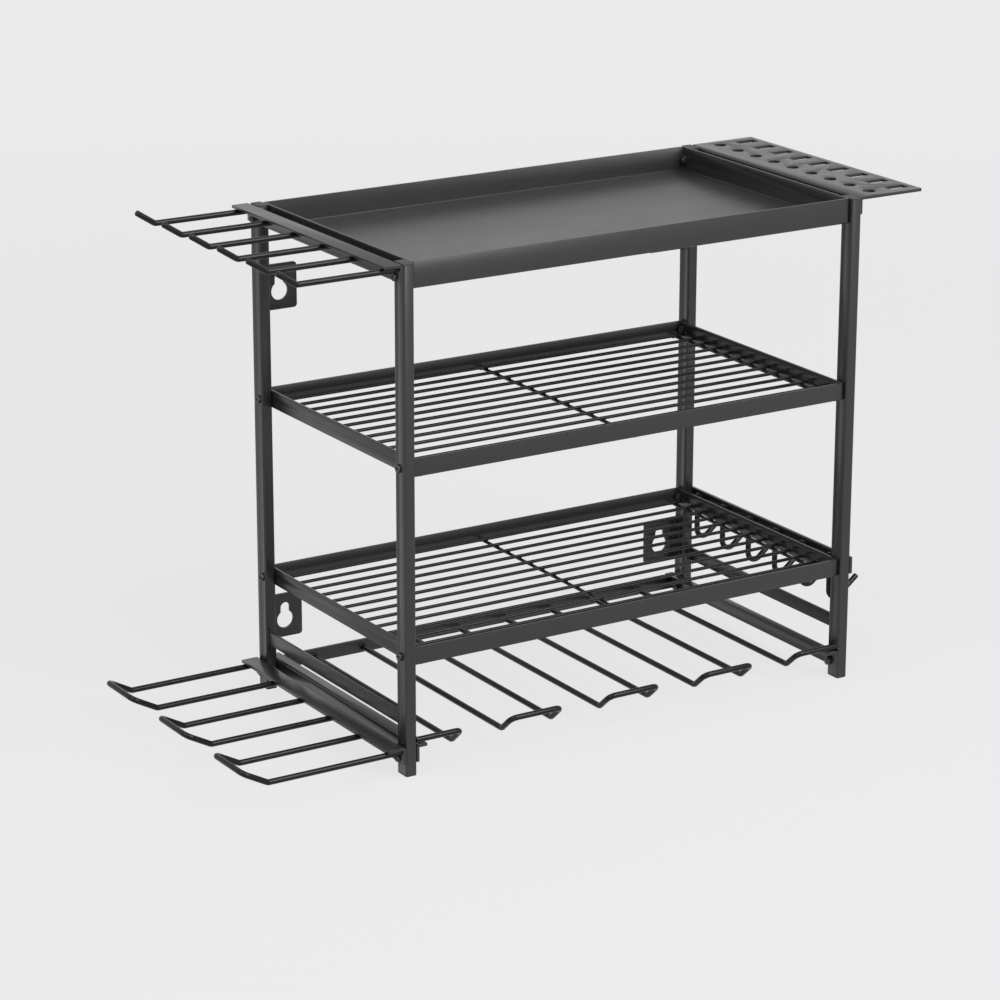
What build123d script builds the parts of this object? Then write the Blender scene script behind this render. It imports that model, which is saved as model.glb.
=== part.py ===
# Wall tool organizer: four tube posts carry a folded top tray and two wire shelves,
# and bolted rails on both sides and underneath hold hooks, screwdrivers, wrenches and drills.
# X runs along the wall, +Y points into the wall and +Z up. The wall plane is Y = 0,
# and the origin is the middle of the four keyholes that hang the rack.
import os

from build123d import *

# Whole rack over its posts, in millimetres like every length here
rack_width = 450.0
rack_depth = 254.0
rack_height = 432.0

# Running gaps and cuts
weld_gap = 0.05  # between round rods and what they are welded to along their side
cut_overrun = 1.0  # how far every cutter runs past the face it cuts

# Posts of rectangular tube, closed top and bottom by plastic plugs
post_width = 10.0
post_depth = 15.0
post_wall = 1.2
post_inner_radius = 0.4
post_outer_radius = post_inner_radius + post_wall
plug_head = 1.5
plug_insert = 6.0
plug_insert_wall = 1.2
plug_clearance = 0.1
plug_chamfer = 0.4

# Folded sheet of the tray and of the two shelf frames
sheet = 1.5
tray_setback = 3.5  # behind the front of the posts, and the same at the rear
tray_height = 22.0
frame_height = 15.0
fold_inner_radius = 0.5
bottom_shelf_height = 110.0  # top of the bottom shelf above the feet
shelf_pitch = 160.0  # top of the bottom shelf to top of the middle one

# Screws and weld nuts that join rails, posts and shelves
screw_diameter = 4.0
screw_head_diameter = 7.0
screw_head_height = 2.2
screw_head_chamfer = 0.7
screw_tip = 1.0  # past the nut
screw_clearance = 0.1  # around the shank, in every hole
nut_across_flats = 7.0
nut_height = 3.2
nut_clearance = 0.1  # to the fold beside it and to the first wire
nut_bore_clearance = 0.03

# Shelf wires
wire_diameter = 3.0
wire_count = 13
cross_wire_count = 3
wire_inset = 0.1  # lowest wire above the bottom edge of the frame
cross_wire_gap = 0.8  # outer cross wires to the screw tips

# Steel rods of the hooks and forks
rod_diameter = 5.0
rod_bend_radius = 6.0
rod_tip_chamfer = 0.7

# Bolted rails of thicker sheet
rail_thickness = 2.5
rail_inner_radius = 0.3
rail_outer_radius = rail_inner_radius + rail_thickness
rail_clearance = 0.1  # over and under the screw heads on a rail

# Left hook rail and its hooks
hook_rail_reach = 17.0
hook_count = 6
hook_edge = 6.0  # first hook behind the front end of the rail
hook_reach = 92.0  # from the post to the bend
hook_tip_run = 17.0
hook_tip_rise = 11.0

# Screwdriver rack on the right
rack_plate_reach = 66.0
rack_plate_setback = 2.0
rack_plate_corner_radius = 1.0
driver_hole_diameter = 11.0
driver_hole_count = 9
driver_hole_edge = 15.4  # middle of the first and last hole to the plate's ends
driver_hole_reach = 21.0  # from the post to the row of round holes
wrench_slot_length = 20.0
wrench_slot_width = 10.0
wrench_slot_radius = 0.8
outer_strip = 6.0  # left outside the row of slots

# Wrench rail on the right and its J hooks
wrench_rail_lift = 1.0  # above the top of the bottom shelf
wrench_hook_count = 6
wrench_hook_edge = 10.75  # first and last hook to the posts beside them
wrench_hook_top_gap = 2.0  # rod's upper end below the top of the rail
wrench_hook_drop = 47.0  # rail's top to the rod's lowest point
wrench_hook_radius = 7.5
wrench_hook_tip_length = 23.2
wrench_hook_tip_angle = 39.0

# Drill rails and forks under the rack
drill_rail_top = 26.5  # above the feet
drill_rail_reach = 10.0
fork_width = 49.0  # between the two wires of a fork
front_fork_count = 5
front_fork_edge = 43.5  # first wire between the posts to the inner side of the post
front_fork_height = 17.0  # arms above the feet
front_fork_bend = 17.0  # bend behind the front of the posts
front_fork_rise = 13.5

# Drill rail and forks outside the left posts
side_fork_count = 3
side_fork_edge = 4.5  # first and last wire to the ends of the rail
side_fork_reach = 126.0  # from the post to the bend
side_fork_tip_run = 22.5
side_fork_tip_rise = 12.0

# Flat bars between front and rear posts
brace_height = 12.0
brace_thickness = 2.5
brace_inset = 1.75
brace_bottom = 42.0  # above the feet

# Keyhole plates behind the rear posts
plate_thickness = 2.5
plate_width = 40.0
plate_inset = 3.6  # from the outer side of the rack
plate_height = 40.0
plate_corner_radius = 3.0
keyhole_radius = 8.0
keyhole_neck_radius = 4.5
keyhole_neck_rise = 11.0
keyhole_edge = 27.0  # from the outer side of the rack
keyhole_height = 16.0  # above the plate's lower edge
lower_keyhole_height = 56.0  # above the feet
upper_keyhole_drop = 80.0  # below the top of the rack

# Planes of the rack
keyhole_rise = rack_height - lower_keyhole_height - upper_keyhole_drop
foot_z = -(lower_keyhole_height + keyhole_rise / 2)
top_z = foot_z + rack_height
rear_y = -plate_thickness
front_y = rear_y - rack_depth
middle_y = (front_y + rear_y) / 2
outer_x = rack_width / 2
inner_x = outer_x - post_width
tray_length = 2 * inner_x
tray_depth = rack_depth - 2 * tray_setback

# Heights of rails, screws and rods, each stacked from the piece that carries it
rail_height = rail_thickness + rail_inner_radius + rod_diameter + screw_head_diameter + 2 * rail_clearance
rail_screw_drop = rail_height - rail_clearance - screw_head_diameter / 2
rail_rod_drop = rail_thickness + rail_inner_radius + rod_diameter / 2
drill_rail_z = foot_z + drill_rail_top
bottom_top_z = foot_z + bottom_shelf_height
middle_top_z = bottom_top_z + shelf_pitch
wrench_rail_z = bottom_top_z + wrench_rail_lift
top_screw_z = top_z - rail_screw_drop
middle_screw_z = middle_top_z - frame_height / 2
bottom_screw_z = bottom_top_z - frame_height / 2
drill_screw_z = drill_rail_z - rail_screw_drop

# Screws and first wires, inwards from the posts' front and rear faces
shelf_inside = tray_setback + sheet
screw_setback = shelf_inside + fold_inner_radius + nut_clearance + nut_across_flats / 2
wire_setback = screw_setback + nut_across_flats / 2 + nut_clearance + wire_diameter / 2
wire_pitch = (rack_depth - 2 * wire_setback) / (wire_count - 1)
cross_wire_edge = nut_height + screw_tip + cross_wire_gap + wire_diameter / 2

# Pitches that spread rods and holes between the ends they are measured from
hook_pitch = (rack_depth - 2 * hook_edge) / (hook_count - 1)
driver_hole_pitch = (rack_depth - 2 * rack_plate_setback - 2 * driver_hole_edge) / (driver_hole_count - 1)
wrench_hook_pitch = (rack_depth - 2 * post_depth - 2 * wrench_hook_edge) / (wrench_hook_count - 1)
front_fork_pitch = (tray_length + fork_width - 2 * front_fork_edge) / (front_fork_count - 1)
side_fork_pitch = (rack_depth - fork_width - 2 * side_fork_edge) / (side_fork_count - 1)

sides = {"left": -1, "right": 1}
ends = {"front": -1, "rear": 1}


def end_y(end, setback):
    """Place along Y that lies a setback inside the posts' front or rear face."""
    return middle_y + end * (rack_depth / 2 - setback)


def spaced(count, pitch):
    """Places of evenly spaced copies about zero."""
    return [(i - (count - 1) / 2) * pitch for i in range(count)]


def disc_x(radius, length, x, y, z):
    """Cylinder along X, starting at x."""
    return Pos(x + length / 2, y, z) * Rot(0, 90, 0) * Cylinder(radius, length)


def disc_y(radius, length, x, y, z):
    """Cylinder along Y, starting at y."""
    return Pos(x, y + length / 2, z) * Rot(90, 0, 0) * Cylinder(radius, length)


def block(low, high):
    """Box between two opposite corners."""
    size = [b - a for a, b in zip(low, high)]
    middle = [(a + b) / 2 for a, b in zip(low, high)]
    return Pos(*middle) * Box(*size)


def side_cutters(side, z, reach):
    """Clearance holes along X for the front and rear screws on one side of the rack."""
    radius = screw_diameter / 2 + screw_clearance
    start = min(side * (inner_x - reach), side * (outer_x + reach))
    length = post_width + 2 * reach
    return [disc_x(radius, length, start, end_y(end, screw_setback), z) for end in ends.values()]


def rounded_tube(width, depth, corner_radius, height):
    """Upright prism with rounded corners, standing on Z = 0."""
    return extrude(RectangleRounded(width, depth, corner_radius), height)


def post(side, end):
    """Rectangular tube with the cross holes for its screws."""
    length = rack_height - 2 * plug_head
    outer = rounded_tube(post_width, post_depth, post_outer_radius, length)
    bore_length = length + 2 * cut_overrun
    bore = rounded_tube(post_width - 2 * post_wall, post_depth - 2 * post_wall, post_inner_radius, bore_length)
    x = side * (outer_x - post_width / 2)
    y = end_y(end, post_depth / 2)
    tube = Pos(x, y, foot_z + plug_head) * (outer - Pos(0, 0, -cut_overrun) * bore)
    for z in (top_screw_z, middle_screw_z, bottom_screw_z, drill_screw_z):
        for cutter in side_cutters(side, z, cut_overrun):
            tube -= cutter
    return tube


def plug(side, end, level):
    """Plastic plug: a chamfered head on the tube's end and a hollow insert inside it."""
    head = rounded_tube(post_width, post_depth, post_outer_radius, plug_head)
    head = chamfer(head.faces().sort_by(Axis.Z)[-1].outer_wire().edges(), plug_chamfer)
    insert_width = post_width - 2 * post_wall - 2 * plug_clearance
    insert_depth = post_depth - 2 * post_wall - 2 * plug_clearance
    insert = RectangleRounded(insert_width, insert_depth, post_inner_radius)
    insert -= Rectangle(insert_width - 2 * plug_insert_wall, insert_depth - 2 * plug_insert_wall)
    shape = head + extrude(insert, -plug_insert)
    x = side * (outer_x - post_width / 2)
    y = end_y(end, post_depth / 2)
    if level == "top":
        return Pos(x, y, top_z - plug_head) * shape
    return Pos(x, y, foot_z + plug_head) * Rot(180, 0, 0) * shape


def top_tray():
    """Folded pan with a closed floor and upright walls."""
    outer_radius = fold_inner_radius + sheet
    pan = rounded_tube(tray_length, tray_depth, outer_radius, tray_height)
    pan = fillet(pan.faces().sort_by(Axis.Z)[0].edges(), outer_radius)
    pan = offset(pan, amount=-sheet, openings=pan.faces().sort_by(Axis.Z)[-1])
    pan = Pos(0, middle_y, top_z - tray_height) * pan
    for side in sides.values():
        for cutter in side_cutters(side, top_screw_z, sheet + cut_overrun):
            pan -= cutter
    return pan


def shelf_frame(frame_top_z, screw_z):
    """Ring of folded sheet around a wire shelf."""
    outer = rounded_tube(tray_length, tray_depth, fold_inner_radius + sheet, frame_height)
    hole_height = frame_height + 2 * cut_overrun
    hole = rounded_tube(tray_length - 2 * sheet, tray_depth - 2 * sheet, fold_inner_radius, hole_height)
    ring = Pos(0, middle_y, frame_top_z - frame_height) * (outer - Pos(0, 0, -cut_overrun) * hole)
    for side in sides.values():
        for cutter in side_cutters(side, screw_z, sheet + cut_overrun):
            ring -= cutter
    return ring


def shelf_wires(frame_top_z):
    """Long wires of a shelf, butted on the insides of the frame's ends."""
    z = frame_top_z - frame_height + wire_inset + wire_diameter + weld_gap + wire_diameter / 2
    x = -(inner_x - sheet)
    length = 2 * (inner_x - sheet)
    return [disc_x(wire_diameter / 2, length, x, middle_y + y, z) for y in spaced(wire_count, wire_pitch)]


def cross_wires(frame_top_z):
    """Wires under the long ones, butted on the insides of the frame's front and rear."""
    z = frame_top_z - frame_height + wire_inset + wire_diameter / 2
    pitch = 2 * (inner_x - sheet - cross_wire_edge) / (cross_wire_count - 1)
    y = front_y + shelf_inside
    length = rack_depth - 2 * shelf_inside
    return [disc_y(wire_diameter / 2, length, x, y, z) for x in spaced(cross_wire_count, pitch)]


def brace(side):
    """Flat bar welded between the front and rear post of one side."""
    outside = side * (outer_x - brace_inset)
    inside = outside - side * brace_thickness
    low_z = foot_z + brace_bottom
    low = (min(inside, outside), front_y + post_depth, low_z)
    high = (max(inside, outside), rear_y - post_depth, low_z + brace_height)
    return block(low, high)


def angle_rail(reach, length, setback, rail_top_z):
    """Angle whose upright lies on the X = 0 plane and whose top flange reaches to +X."""
    outline = Polyline(
        (0, 0),
        (reach, 0),
        (reach, -rail_thickness),
        (rail_thickness, -rail_thickness),
        (rail_thickness, -rail_height),
        (0, -rail_height),
        close=True,
    )
    section = make_face(outline)
    section = fillet(section.vertices().sort_by_distance((0, 0))[0], rail_outer_radius)
    inner_corner = section.vertices().sort_by_distance((rail_thickness, -rail_thickness))[0]
    section = fillet(inner_corner, rail_inner_radius)
    bar = extrude(Plane.XZ * section, -length)
    return Pos(0, front_y + setback, rail_top_z) * bar


def outside_rail(side, reach, setback, rail_top_z, screw_z):
    """Angle rail on the outer faces of the posts, drilled for its two screws."""
    rail = angle_rail(reach, rack_depth - 2 * setback, setback, rail_top_z)
    if side < 0:
        rail = mirror(rail, about=Plane.YZ)
    rail = Pos(side * outer_x, 0, 0) * rail
    for cutter in side_cutters(side, screw_z, rail_thickness + cut_overrun):
        rail -= cutter
    return rail


def inside_rail(side):
    """Angle under the rack on the inner faces of the posts, drilled for its two screws."""
    rail = angle_rail(drill_rail_reach, rack_depth, 0, drill_rail_z)
    if side > 0:
        rail = mirror(rail, about=Plane.YZ)
    rail = Pos(side * inner_x, 0, 0) * rail
    for cutter in side_cutters(side, drill_screw_z, rail_thickness + cut_overrun):
        rail -= cutter
    return rail


def rear_rail():
    """Flat bar between the two inside rails, under their top flanges."""
    x = inner_x - rail_thickness
    low = (-x, rear_y - rail_thickness, drill_rail_z - rail_height)
    high = (x, rear_y, drill_rail_z - rail_thickness - rail_inner_radius)
    return block(low, high)


def screwdriver_rack():
    """Wide angle with a row of round holes and an outer row of slots."""
    side = sides["right"]
    plate = outside_rail(side, rack_plate_reach, rack_plate_setback, top_z, top_screw_z)
    corners = plate.edges().filter_by(Axis.Z).group_by(Axis.X)[-1]
    plate = fillet(corners, rack_plate_corner_radius)
    depth = rail_thickness + 2 * cut_overrun
    cut_z = top_z - rail_thickness - cut_overrun
    slot_x = outer_x + rack_plate_reach - outer_strip - wrench_slot_length / 2
    slot = rounded_tube(wrench_slot_length, wrench_slot_width, wrench_slot_radius, depth)
    hole = Pos(0, 0, depth / 2) * Cylinder(driver_hole_diameter / 2, depth)
    for y in spaced(driver_hole_count, driver_hole_pitch):
        plate -= Pos(outer_x + driver_hole_reach, middle_y + y, cut_z) * hole
        plate -= Pos(slot_x, middle_y + y, cut_z) * slot
    return plate


def wrench_rail():
    """Flat bar on the outer faces of the right posts."""
    side = sides["right"]
    low = (outer_x, front_y, wrench_rail_z - rail_height)
    high = (outer_x + rail_thickness, rear_y, wrench_rail_z)
    bar = block(low, high)
    for cutter in side_cutters(side, bottom_screw_z, rail_thickness + cut_overrun):
        bar -= cutter
    return bar


def swept_rod(path):
    """Round rod along a path of straight runs and tangent arcs."""
    section = Plane(path @ 0, z_dir=path % 0) * Circle(rod_diameter / 2)
    return sweep(section, path=path)


def tipped(rod, tip):
    """The same rod with the edge of its free end broken."""
    end_face = rod.faces().filter_by(GeomType.PLANE).sort_by_distance(tip)[0]
    return chamfer(end_face.edges(), rod_tip_chamfer)


def hook(y):
    """Straight rod out of the left rail with a raised tip."""
    z = top_z - rail_rod_drop
    bend = (-(outer_x + hook_reach), y, z)
    tip = (-(outer_x + hook_reach + hook_tip_run), y, z + hook_tip_rise)
    path = FilletPolyline((-(outer_x + rail_thickness), y, z), bend, tip, radius=rod_bend_radius)
    return tipped(swept_rod(path), tip)


def wrench_hook(y):
    """J hook welded behind the wrench rail, its bend passing under the rail."""
    x = outer_x - weld_gap - rod_diameter / 2
    low_z = wrench_rail_z - wrench_hook_drop + rod_diameter / 2
    centre = (x + wrench_hook_radius, low_z + wrench_hook_radius)
    leg_top = wrench_rail_z - wrench_hook_top_gap
    leg = Line((x, leg_top), (x, centre[1]))
    bend = CenterArc(centre, wrench_hook_radius, 180, 90 + wrench_hook_tip_angle)
    tip = PolarLine(bend @ 1, wrench_hook_tip_length, wrench_hook_tip_angle)
    flat = Plane(origin=(0, y, 0), x_dir=(1, 0, 0), z_dir=(0, -1, 0))
    path = flat * Wire([leg, bend, tip])
    return tipped(swept_rod(path), path @ 1)


def front_fork(number, x):
    """Drill fork under the rack: two arms from the rear rail and a raised front bar."""
    z = foot_z + front_fork_height
    rear = rear_y - rail_thickness
    bend = front_y + front_fork_bend
    bar_y = front_y + post_outer_radius
    bar_z = z + front_fork_rise
    left = x - fork_width / 2
    right = x + fork_width / 2
    left_arm = [(left, rear, z), (left, bend, z), (left, bar_y, bar_z)]
    right_arm = [(right, bar_y, bar_z), (right, bend, z), (right, rear, z)]
    if number == 0:
        left_arm = [(-inner_x, bar_y, bar_z)]
    if number == front_fork_count - 1:
        right_arm = [(inner_x, bar_y, bar_z)]
    return swept_rod(FilletPolyline(*left_arm, *right_arm, radius=rod_bend_radius))


def side_fork(y):
    """Drill fork outside the left posts: two arms from the rail and a raised outer bar."""
    z = drill_rail_z - rail_rod_drop
    root = -(outer_x + rail_thickness)
    bend = -(outer_x + side_fork_reach)
    bar_x = bend - side_fork_tip_run
    bar_z = z + side_fork_tip_rise
    near = y - fork_width / 2
    far = y + fork_width / 2
    near_arm = [(root, near, z), (bend, near, z), (bar_x, near, bar_z)]
    far_arm = [(bar_x, far, bar_z), (bend, far, z), (root, far, z)]
    return swept_rod(FilletPolyline(*near_arm, *far_arm, radius=rod_bend_radius))


def keyhole_heights():
    return [-keyhole_rise / 2, keyhole_rise / 2]


def wall_plate(side, keyhole_z):
    """Plate welded behind a rear post, with a keyhole for a wall screw."""
    middle_x = side * (outer_x - plate_inset - plate_width / 2)
    middle_z = keyhole_z - keyhole_height + plate_height / 2
    keyhole_x = side * (outer_x - keyhole_edge)
    neck_z = keyhole_z + keyhole_neck_rise
    outline = Pos(middle_x, middle_z) * RectangleRounded(plate_width, plate_height, plate_corner_radius)
    outline -= Pos(keyhole_x, keyhole_z) * Circle(keyhole_radius)
    outline -= Pos(keyhole_x, (keyhole_z + neck_z) / 2) * Rectangle(2 * keyhole_neck_radius, keyhole_neck_rise)
    outline -= Pos(keyhole_x, neck_z) * Circle(keyhole_neck_radius)
    return extrude(Plane.XZ * outline, plate_thickness)


def screw(length):
    """Pan head screw along X: the head's underside at X = 0 and the shank towards -X."""
    head = Cylinder(screw_head_diameter / 2, screw_head_height)
    head = chamfer(head.edges().sort_by(Axis.Z)[-1], screw_head_chamfer)
    head = Pos(0, 0, screw_head_height / 2) * head
    shank = Pos(0, 0, -length / 2) * Cylinder(screw_diameter / 2, length)
    return Rot(0, 90, 0) * (head + shank)


def nut():
    """Hexagon nut along X from X = 0 to +X, two of its flats facing along Y."""
    hexagon = RegularPolygon(nut_across_flats / 2, 6, major_radius=False)
    section = hexagon - Circle(screw_diameter / 2 + nut_bore_clearance)
    return Rot(0, 90, 0) * extrude(section, nut_height)


def joint_screws(z, outer_plates, inner_sheet):
    """Four screws at one height; outer_plates gives the rail thickness under each head."""
    solids = []
    for name, side in sides.items():
        outer_plate = outer_plates.get(name, 0)
        length = outer_plate + post_width + inner_sheet + nut_height + screw_tip
        shape = screw(length)
        if side < 0:
            shape = mirror(shape, about=Plane.YZ)
        x = side * (outer_x + outer_plate)
        solids += [Pos(x, end_y(end, screw_setback), z) * shape for end in ends.values()]
    return solids


def joint_nuts(z, inner_sheet):
    """Four nuts at one height, on the inner side of the sheet that the screws clamp."""
    solids = []
    for side in sides.values():
        shape = nut()
        if side > 0:
            shape = mirror(shape, about=Plane.YZ)
        x = side * (inner_x - inner_sheet)
        solids += [Pos(x, end_y(end, screw_setback), z) * shape for end in ends.values()]
    return solids


def write(name, *solids):
    """Writes one node, as a single solid or a group of separate solids."""
    parts = [solid for shape in solids for solid in shape.solids()]
    node = parts[0] if len(parts) == 1 else Compound(children=parts)
    export_step(node, os.path.join("parts", name + ".step"))


os.makedirs("parts", exist_ok=True)

for side_name, side in sides.items():
    for end_name, end in ends.items():
        write(f"post_{end_name}_{side_name}", post(side, end))
    write(f"brace_{side_name}", brace(side))
    write(f"drill_rail_{side_name}", inside_rail(side))
    write(f"wall_plate_lower_{side_name}", wall_plate(side, keyhole_heights()[0]))
    write(f"wall_plate_upper_{side_name}", wall_plate(side, keyhole_heights()[1]))
for level in ("top", "bottom"):
    write(f"post_plugs_{level}", *[plug(s, e, level) for s in sides.values() for e in ends.values()])

write("top_tray", top_tray())
for name, frame_top_z, screw_z in (
    ("middle_shelf", middle_top_z, middle_screw_z),
    ("bottom_shelf", bottom_top_z, bottom_screw_z),
):
    write(f"{name}_frame", shelf_frame(frame_top_z, screw_z))
    write(f"{name}_wires", *shelf_wires(frame_top_z))
    write(f"{name}_cross_wires", *cross_wires(frame_top_z))

write("hook_rail", outside_rail(sides["left"], hook_rail_reach, 0, top_z, top_screw_z))
for i, y in enumerate(spaced(hook_count, hook_pitch)):
    write(f"hook_{i + 1}", hook(middle_y + y))

write("screwdriver_rack", screwdriver_rack())
write("wrench_rail", wrench_rail())
for i, y in enumerate(spaced(wrench_hook_count, wrench_hook_pitch)):
    write(f"wrench_hook_{i + 1}", wrench_hook(middle_y + y))

write("drill_rail_rear", rear_rail())
for i, x in enumerate(spaced(front_fork_count, front_fork_pitch)):
    write(f"drill_fork_{i + 1}", front_fork(i, x))
write("side_drill_rail", outside_rail(sides["left"], hook_rail_reach, 0, drill_rail_z, drill_screw_z))
for i, y in enumerate(spaced(side_fork_count, side_fork_pitch)):
    write(f"side_drill_fork_{i + 1}", side_fork(middle_y + y))

both = {"left": rail_thickness, "right": rail_thickness}
write("top_tray_screws", *joint_screws(top_screw_z, both, sheet))
write("top_tray_nuts", *joint_nuts(top_screw_z, sheet))
write("middle_shelf_screws", *joint_screws(middle_screw_z, {}, sheet))
write("middle_shelf_nuts", *joint_nuts(middle_screw_z, sheet))
write("bottom_shelf_screws", *joint_screws(bottom_screw_z, {"right": rail_thickness}, sheet))
write("bottom_shelf_nuts", *joint_nuts(bottom_screw_z, sheet))
write("drill_rail_screws", *joint_screws(drill_screw_z, {"left": rail_thickness}, rail_thickness))
write("drill_rail_nuts", *joint_nuts(drill_screw_z, rail_thickness))
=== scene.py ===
import math

import bmesh
import bpy
from mathutils import Matrix, Vector


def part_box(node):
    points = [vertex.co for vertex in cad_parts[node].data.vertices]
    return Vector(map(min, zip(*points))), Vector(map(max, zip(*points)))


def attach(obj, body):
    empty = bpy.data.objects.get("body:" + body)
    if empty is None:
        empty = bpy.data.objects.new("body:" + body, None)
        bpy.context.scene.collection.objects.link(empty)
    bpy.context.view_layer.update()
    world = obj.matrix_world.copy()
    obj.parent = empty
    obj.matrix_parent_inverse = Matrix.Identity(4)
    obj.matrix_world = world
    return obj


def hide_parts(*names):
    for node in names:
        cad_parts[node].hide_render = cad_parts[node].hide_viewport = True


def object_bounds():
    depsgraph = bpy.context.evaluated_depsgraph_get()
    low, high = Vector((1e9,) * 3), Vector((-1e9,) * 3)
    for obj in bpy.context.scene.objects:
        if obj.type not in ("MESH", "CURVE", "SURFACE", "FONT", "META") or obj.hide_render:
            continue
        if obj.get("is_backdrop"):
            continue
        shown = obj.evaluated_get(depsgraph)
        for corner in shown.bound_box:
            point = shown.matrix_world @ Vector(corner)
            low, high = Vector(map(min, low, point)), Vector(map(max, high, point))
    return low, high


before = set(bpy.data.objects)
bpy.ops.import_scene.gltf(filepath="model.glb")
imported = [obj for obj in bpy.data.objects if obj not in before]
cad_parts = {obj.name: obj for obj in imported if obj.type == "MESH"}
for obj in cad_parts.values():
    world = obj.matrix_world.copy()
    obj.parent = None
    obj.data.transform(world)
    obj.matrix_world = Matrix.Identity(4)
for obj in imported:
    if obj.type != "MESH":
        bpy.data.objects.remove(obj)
cadLow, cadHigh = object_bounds()
mm = 0.001
feetZ = cadLow.z
print("frame loaded:", len(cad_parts), "nodes")


def newGroup(name, inputs, outputs):
    group = bpy.data.node_groups.new(name, "ShaderNodeTree")
    for socketName, kind, default in inputs:
        socket = group.interface.new_socket(socketName, in_out="INPUT", socket_type=kind)
        socket.default_value = default
    for socketName, kind in outputs:
        group.interface.new_socket(socketName, in_out="OUTPUT", socket_type=kind)
    return group, group.nodes.new("NodeGroupInput"), group.nodes.new("NodeGroupOutput")


def wire(tree, source, target):
    tree.links.new(source, target)


coatNoise = {
    "wavesPerMetre": 1000.0,  # of the orange peel, at a peel size of 1 mm
    "peelDetail": 2.0,
    "driftScale": 28.0,
    "driftDetail": 3.0,
}


def powderCoatGroup():
    # orange peel and a slow drift of gloss, as baked powder has
    group, given, result = newGroup(
        "powderCoat",
        [
            ("Colour", "NodeSocketColor", (0.03, 0.03, 0.03, 1)),
            ("Gloss", "NodeSocketFloat", 0.4),
            ("Gloss Drift", "NodeSocketFloat", 0.06),
            ("Peel Size", "NodeSocketFloat", 1.0),
        ],
        [
            ("Colour", "NodeSocketColor"),
            ("Roughness", "NodeSocketFloat"),
            ("Height", "NodeSocketFloat"),
        ],
    )
    place = group.nodes.new("ShaderNodeTexCoord")
    size = group.nodes.new("ShaderNodeMath")
    size.operation = "DIVIDE"
    size.inputs[0].default_value = coatNoise["wavesPerMetre"]
    wire(group, given.outputs["Peel Size"], size.inputs[1])
    peel = group.nodes.new("ShaderNodeTexNoise")
    peel.inputs["Detail"].default_value = coatNoise["peelDetail"]
    wire(group, place.outputs["Object"], peel.inputs["Vector"])
    wire(group, size.outputs[0], peel.inputs["Scale"])
    drift = group.nodes.new("ShaderNodeTexNoise")
    drift.inputs["Scale"].default_value = coatNoise["driftScale"]
    drift.inputs["Detail"].default_value = coatNoise["driftDetail"]
    wire(group, place.outputs["Object"], drift.inputs["Vector"])
    spread = group.nodes.new("ShaderNodeMath")
    spread.operation = "SUBTRACT"
    spread.inputs[1].default_value = 0.5  # the noise is even about one half
    wire(group, drift.outputs["Fac"], spread.inputs[0])
    gloss = group.nodes.new("ShaderNodeMath")
    gloss.operation = "MULTIPLY_ADD"
    wire(group, spread.outputs[0], gloss.inputs[0])
    wire(group, given.outputs["Gloss Drift"], gloss.inputs[1])
    wire(group, given.outputs["Gloss"], gloss.inputs[2])
    wire(group, given.outputs["Colour"], result.inputs["Colour"])
    wire(group, gloss.outputs[0], result.inputs["Roughness"])
    wire(group, peel.outputs["Fac"], result.inputs["Height"])
    return group


powderCoat = powderCoatGroup()


def coatMaterial(name, look):
    material = bpy.data.materials.new(name)
    material.use_nodes = True
    tree = material.node_tree
    shader = tree.nodes["Principled BSDF"]
    coat = tree.nodes.new("ShaderNodeGroup")
    coat.node_tree = powderCoat
    coat.inputs["Colour"].default_value = (*look["colour"], 1)
    coat.inputs["Gloss"].default_value = look["roughness"]
    coat.inputs["Gloss Drift"].default_value = look["drift"]
    coat.inputs["Peel Size"].default_value = look["peelSize"]
    bump = tree.nodes.new("ShaderNodeBump")
    bump.inputs["Strength"].default_value = look["peelStrength"]
    bump.inputs["Distance"].default_value = look["peelDepth"] * mm
    wire(tree, coat.outputs["Colour"], shader.inputs["Base Color"])
    wire(tree, coat.outputs["Roughness"], shader.inputs["Roughness"])
    wire(tree, coat.outputs["Height"], bump.inputs["Height"])
    wire(tree, bump.outputs["Normal"], shader.inputs["Normal"])
    shader.inputs["Metallic"].default_value = look["metallic"]
    shader.inputs["IOR"].default_value = look["ior"]
    return material


finishes = {
    "coatedSheet": {
        "colour": (0.016, 0.016, 0.0168),
        "roughness": 0.30,
        "drift": 0.10,
        "peelSize": 1.1,
        "peelStrength": 0.5,
        "peelDepth": 0.05,
        "metallic": 0.0,
        "ior": 1.5,
    },
    "coatedWire": {
        "colour": (0.007, 0.007, 0.0075),
        "roughness": 0.22,
        "drift": 0.08,
        "peelSize": 0.9,
        "peelStrength": 0.35,
        "peelDepth": 0.04,
        "metallic": 0.0,
        "ior": 1.30,
    },
    "blackPlastic": {
        "colour": (0.020, 0.020, 0.021),
        "roughness": 0.55,
        "drift": 0.05,
        "peelSize": 0.35,
        "peelStrength": 0.4,
        "peelDepth": 0.03,
        "metallic": 0.0,
        "ior": 1.46,
    },
    "blackZinc": {
        "colour": (0.075, 0.075, 0.081),
        "roughness": 0.36,
        "drift": 0.12,
        "peelSize": 0.5,
        "peelStrength": 0.2,
        "peelDepth": 0.02,
        "metallic": 0.85,
        "ior": 1.5,
    },
}
materials = {name: coatMaterial(name, look) for name, look in finishes.items()}
print("materials made:", ", ".join(materials))


def newTree(name, inputs):
    tree = bpy.data.node_groups.new(name, "GeometryNodeTree")
    tree.interface.new_socket("Geometry", in_out="INPUT", socket_type="NodeSocketGeometry")
    for socketName, kind, default in inputs:
        socket = tree.interface.new_socket(socketName, in_out="INPUT", socket_type=kind)
        if default is not None:
            socket.default_value = default
    tree.interface.new_socket("Geometry", in_out="OUTPUT", socket_type="NodeSocketGeometry")
    return tree, tree.nodes.new("NodeGroupInput"), tree.nodes.new("NodeGroupOutput")


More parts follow.
